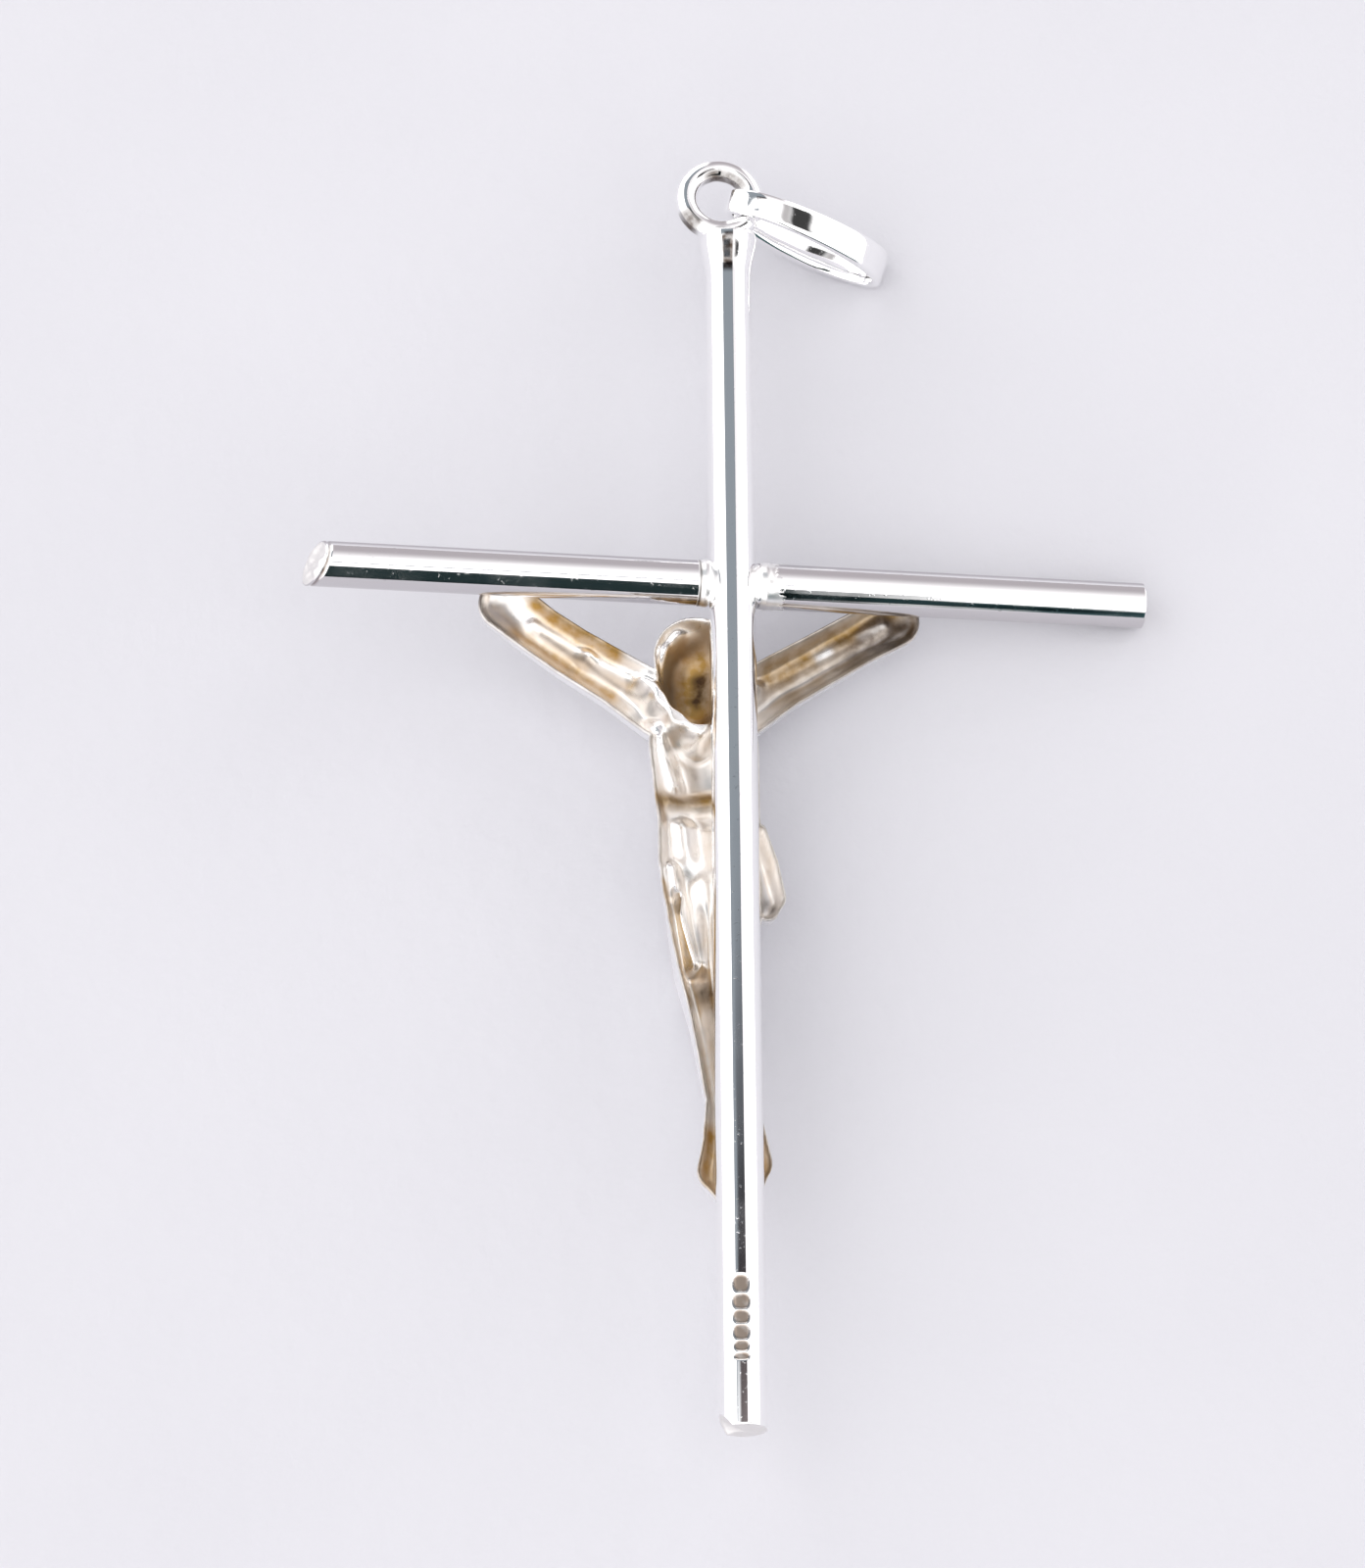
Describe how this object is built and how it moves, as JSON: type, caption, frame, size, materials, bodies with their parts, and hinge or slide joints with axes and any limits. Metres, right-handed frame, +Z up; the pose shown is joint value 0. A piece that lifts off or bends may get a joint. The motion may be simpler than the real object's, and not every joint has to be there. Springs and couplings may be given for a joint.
{
  "type": "crucifix pendant",
  "caption": "Crucifix pendant of round rods with a hollow-backed cast figure, soldered top ring and loose oval bail, lying face down.",
  "frame": {"origin": "on the floor under the middle of the pendant's bounding box, as it lies face down", "axes": "+Y along the upright from the foot end to the ring, +X along the crossbar to the right seen from above, +Z up, out of the pendant's back"},
  "size_m": [0.0325, 0.052, 0.0085],
  "materials": {
    "polished_rod": "polished white gold, finely scratched, with grey solder at the joins",
    "cast_figure": "cast white gold, bright in front, tarnished brown and olive in the hollow back",
    "bail_band": "polished white gold band"
  },
  "bodies": {
    "root": {"cross": "polished_rod", "corpus": "cast_figure", "bail": "bail_band"}
  },
  "joints": []
}
